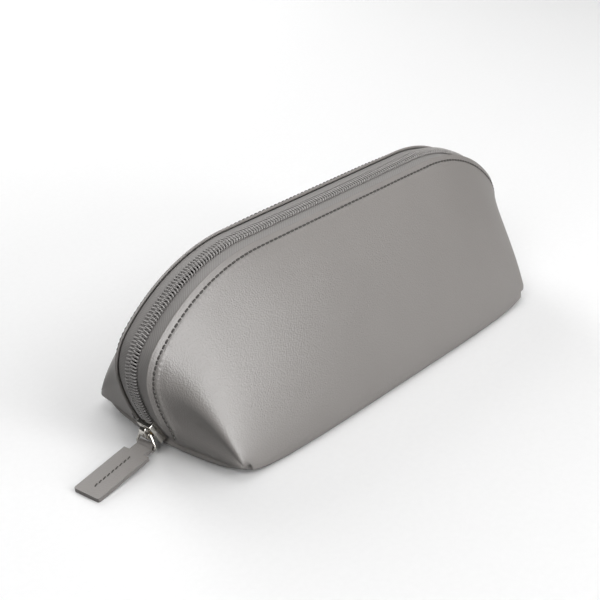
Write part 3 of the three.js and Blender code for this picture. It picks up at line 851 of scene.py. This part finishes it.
def wire(paths, radius, closed=False, sides=2):
    """A bmesh of round wire along each of the paths, with its ends filled."""
    curve = bpy.data.curves.new("wire", "CURVE")
    curve.dimensions = "3D"
    curve.bevel_depth = radius
    curve.bevel_resolution = sides
    curve.use_fill_caps = True
    for path in paths:
        spline = curve.splines.new("POLY")
        spline.points.add(len(path) - 1)
        for point, place in zip(spline.points, path):
            point.co = (*place, 1)
        spline.use_cyclic_u = closed
    made = bpy.data.objects.new("wire", curve)
    shape = bmesh.new()
    shape.from_mesh(made.to_mesh())
    made.to_mesh_clear()
    bpy.data.objects.remove(made)
    bpy.data.curves.remove(curve)
    bmesh.ops.remove_doubles(shape, verts=shape.verts, dist=WIRE_MEETING)
    bmesh.ops.recalc_face_normals(shape, faces=shape.faces)
    return shape


def coil_path(side):
    """Flattened helix along one side of the zip."""
    path = []
    turns = int((COIL_TO - COIL_FROM) / TOOTH_PITCH) - 1
    start = COIL_FROM + (0 if side < 0 else TOOTH_PITCH / 2)
    for index in range(turns * POINTS_PER_TOOTH + 1):
        turn = index / POINTS_PER_TOOTH
        cosine = math.cos(2 * math.pi * turn)
        square = math.copysign(abs(cosine) ** COIL_FLATNESS, cosine)
        height = COIL_MIDDLE_HEIGHT + COIL_RISE * math.sin(2 * math.pi * turn)
        y = side * (COIL_MIDDLE_Y + COIL_REACH * square)
        path.append(off_arch(start + turn * TOOTH_PITCH, y, height) + Vector((POUCH_MIDDLE, 0, 0)))
    return path


for word, side in SIDES:
    add_piece(f"{word}_coil", wire([coil_path(side)], FILAMENT), nylon, "pouch")

# ---- Topstitching
# Dark bonded polyester thread, one lock stitch every 2.5 mm, through leather and tape beside the
# folded edges. Each stitch rises out of one needle hole and dives into the next.
THREAD = 0.42 * MM
STITCH_FROM = 4.5 * MM
# From one needle hole to the next: share of the pitch, and height over the leather in mm.
STITCH_SHAPE = ((0.16, -0.8), (0.23, -0.05), (0.5, 0.08), (0.77, -0.05), (0.84, -0.8))

bonded, shader = new_material("bonded_polyester_thread")
where = add_node(bonded, "ShaderNodeTexCoord")
strand = add_node(bonded, "ShaderNodeTexNoise", {
    "Vector": where.outputs["Object"], "Scale": 1 / (0.25 * MM),
})
tone = add_node(bonded, "ShaderNodeValToRGB", {"Fac": strand.outputs["Fac"]})
tone.color_ramp.elements[0].color = linear("2c2a27")
tone.color_ramp.elements[1].color = linear("4a4641")
bump = add_node(bonded, "ShaderNodeBump", {
    "Height": strand.outputs["Fac"], "Strength": 0.4, "Distance": 0.05 * MM,
})
join(bonded, tone.outputs["Color"], shader.inputs["Base Color"])
join(bonded, bump.outputs["Normal"], shader.inputs["Normal"])
shader.inputs["Roughness"].default_value = 0.55


def stitch_path(start, side):
    """One stitch between two needle holes, sunk at both ends."""
    row = EDGE_ROWS * STITCH_LINE / EDGE_BAND
    path = []
    for along, height in STITCH_SHAPE:
        distance = start + along * STITCH_PITCH
        point = skin_point(distance, side, row, 0) + skin_normal(distance, side, row) * height * MM
        path.append(point + Vector((POUCH_MIDDLE, 0, 0)))
    return path


STITCHES = int((ARCH_LENGTH - 2 * STITCH_FROM) / STITCH_PITCH)
first = math.ceil(STITCH_FROM / STITCH_PITCH) * STITCH_PITCH
for word, side in SIDES:
    paths = [stitch_path(first + index * STITCH_PITCH, side) for index in range(STITCHES)]
    add_piece(f"{word}_topstitch", wire(paths, THREAD), bonded, "pouch")

# ---- Slider, stops and lock spring
# Die cast zinc, tumbled and nickel plated: a slider that wraps the coil, a bridge over it for the
# ring, and small stops at the ends of the zip. The lock spring under the bridge is brass.
def metal(name, light, dark, roughness, grain_size):
    """Plated metal with faint tumbling marks."""
    material, shader = new_material(name)
    where = add_node(material, "ShaderNodeTexCoord")
    marks = add_node(material, "ShaderNodeTexNoise", {
        "Vector": where.outputs["Object"], "Scale": 1 / grain_size, "Detail": 4.0,
    })
    tone = add_node(material, "ShaderNodeValToRGB", {"Fac": marks.outputs["Fac"]})
    tone.color_ramp.elements[0].color = linear(dark)
    tone.color_ramp.elements[1].color = linear(light)
    gloss = add_node(material, "ShaderNodeMapRange", {
        "Value": marks.outputs["Fac"], "To Min": roughness * 0.7, "To Max": roughness * 1.4,
    })
    bump = add_node(material, "ShaderNodeBump", {
        "Height": marks.outputs["Fac"], "Strength": 0.1, "Distance": 0.02 * MM,
    })
    join(material, tone.outputs["Color"], shader.inputs["Base Color"])
    join(material, gloss.outputs["Result"], shader.inputs["Roughness"])
    join(material, bump.outputs["Normal"], shader.inputs["Normal"])
    shader.inputs["Metallic"].default_value = 1
    return material


CAST_ROUNDING = 0.3 * MM
BRIDGE_ROUNDING = 0.25 * MM
STOP_ROUNDING = 0.2 * MM
SPRING_ROUNDING = 0.08 * MM
nickel = metal("tumbled_nickel_plate", "d9d6d0", "aeaba5", 0.2, 0.9 * MM)
brass = metal("stamped_brass", "d2ab62", "a9853f", 0.3, 0.7 * MM)
refined("slider_body", CAST_ROUNDING, nickel, "slider", segments=3)
refined("slider_bridge", BRIDGE_ROUNDING, nickel, "slider", segments=3)
refined("slider_lock_spring", SPRING_ROUNDING, brass, "slider")
for name in ("front_top_stop", "back_top_stop", "bottom_stop"):
    refined(name, STOP_ROUNDING, nickel, "pouch")

# ---- Pull ring
# 1.2 mm nickel plated steel wire, bent into a loop that is narrow under the bridge and wide and
# straight where it holds the tab.
SLIDER_AT = 7.3 * MM
RING_PIVOT = (1.2 * MM, 2.6 * MM)
RING_WIRE = 0.6 * MM
RING_DROP = 6.1 * MM
PULL_YAW = math.radians(5.9)
RING_STEPS = 6
# Corners of the wire's right half, seen from the end of the pouch, in mm from the pivot.
RING_HALF = [(0, 0), (1.9, 0), (2.8, -0.8), (4.5, -4.5), (4.6, -5.4), (4, -6.1), (0, -6.1)]

x, z, heading = arch_at(SLIDER_AT)
along, out = RING_PIVOT
pivot = Vector((
    x + along * math.cos(heading) - out * math.sin(heading) + POUCH_MIDDLE, 0,
    z + along * math.sin(heading) + out * math.cos(heading),
))
ring_frame = Matrix.Translation(pivot) @ Matrix.Rotation(PULL_YAW, 4, "Z")


def rounded_loop(corners, steps):
    """A smooth closed path through the corners."""
    count = len(corners)
    path = []
    for index in range(count):
        before, start, end, after = (corners[(index + offset) % count] for offset in (-1, 0, 1, 2))
        for step in range(steps):
            t = step / steps
            bend = (2 * before - 5 * start + 4 * end - after) * t ** 2
            twist = (3 * start - 3 * end + after - before) * t ** 3
            path.append(0.5 * (2 * start + (end - before) * t + bend + twist))
    return path


right = [Vector((0, y * MM, z * MM)) for y, z in RING_HALF]
left = [Vector((0, -point.y, point.z)) for point in right[-2:0:-1]]
loop = [ring_frame @ point for point in rounded_loop(right + left, RING_STEPS)]
add_piece("pull_ring", wire([loop], RING_WIRE, closed=True, sides=4), nickel, "ring")

# ---- Pull tab
# One strip of the same leather, folded round the ring, glued flesh to flesh and stitched down its
# middle. Its neck is cut narrow to fit the ring.
TAB_LENGTH = 35.5 * MM
TAB_HALF_WIDTH = 6.6 * MM
NECK_LENGTH = 6 * MM
NECK_HALF_WIDTH = 3.8 * MM
TAB_THICKNESS = 1.9 * MM
PLY = 0.9 * MM
EYE_RADIUS = 0.97 * MM
EYE_STEPS = 14
CORNER_RADIUS = 0.9 * MM
NECK_CORNER = 0.05 * MM
# How far from the tab's end, and from its pivot, the strip has a row of corners.
END_ROWS = (0, 0.3 * MM, 0.9 * MM)
NECK_ROWS = (4 * MM, 2.6 * MM)
BODY_FROM = 1.5 * MM
BODY_MARGIN = 0.8 * MM
BODY_ROWS = 12

bar_height = pivot.z - RING_DROP
slope = -math.asin((bar_height - TAB_THICKNESS / 2) / TAB_LENGTH)
tab_frame = ring_frame @ Matrix.Translation((0, 0, -RING_DROP)) @ Matrix.Rotation(slope, 4, "Y")


def tab_line():
    """Inner face of the folded strip, seen from its edge: in along the top, round, and out."""
    ply_height = TAB_THICKNESS / 2 - PLY
    join_x = -math.sqrt(EYE_RADIUS ** 2 - ply_height ** 2)
    start = math.atan2(ply_height, join_x)
    stops = [-TAB_LENGTH + row for row in END_ROWS]
    stops += [mix(-TAB_LENGTH + BODY_FROM, -NECK_LENGTH - BODY_MARGIN, step / BODY_ROWS)
              for step in range(BODY_ROWS + 1)]
    stops += [-NECK_LENGTH + off for off in (-NECK_CORNER, NECK_CORNER, BODY_MARGIN)]
    stops += [-row for row in NECK_ROWS]
    upper = [(x, ply_height) for x in stops]
    angles = [start * (1 - 2 * step / EYE_STEPS) for step in range(EYE_STEPS + 1)]
    turn = [(EYE_RADIUS * math.cos(angle), EYE_RADIUS * math.sin(angle)) for angle in angles]
    return upper + turn + [(x, -z) for x, z in reversed(upper)]


def tab_half_width(x):
    """Narrow at the neck, full along the tab, with rounded corners at its end."""
    if x > -NECK_LENGTH:
        return NECK_HALF_WIDTH
    into_corner = max(CORNER_RADIUS - (x + TAB_LENGTH), 0)
    return TAB_HALF_WIDTH - (CORNER_RADIUS - math.sqrt(CORNER_RADIUS ** 2 - into_corner ** 2))


def strip_point(column, row):
    x, z = line[row]
    return Vector((x, (2 * column / TAB_COLUMNS - 1) * tab_half_width(x), z))


line = tab_line()
TAB_COLUMNS = 8
strip = loft(TAB_COLUMNS, len(line) - 1, strip_point)
bmesh.ops.recalc_face_normals(strip, faces=strip.faces)
bmesh.ops.solidify(strip, geom=strip.faces[:] + strip.edges[:] + strip.verts[:], thickness=PLY)
bmesh.ops.transform(strip, matrix=tab_frame, verts=strip.verts)
bmesh.ops.recalc_face_normals(strip, faces=strip.faces)
add_piece("pull_tab", strip, leather, "tab", sharp=35)

# Stitches down the middle of the tab, a little slanted.
TAB_STITCHES = 9
TAB_STITCH_FROM = 10.5 * MM
TAB_STITCH_PITCH = 2.4 * MM
TAB_STITCH_REACH = 0.95 * MM
TAB_STITCH_SHAPE = ((-1, -0.25 * MM), (-0.6, 0.12 * MM), (0.6, 0.12 * MM), (1, -0.25 * MM))
TAB_THREAD = 0.26 * MM
SLANT = math.radians(14)
reach = Vector((math.cos(SLANT), math.sin(SLANT), 0)) * TAB_STITCH_REACH
paths = []
for index in range(TAB_STITCHES):
    middle = Vector((-TAB_STITCH_FROM - index * TAB_STITCH_PITCH, 0, TAB_THICKNESS / 2))
    paths.append([tab_frame @ (middle + Vector((0, 0, rise)) + reach * share)
                  for share, rise in TAB_STITCH_SHAPE])
add_piece("pull_tab_thread", wire(paths, TAB_THREAD), bonded, "tab")
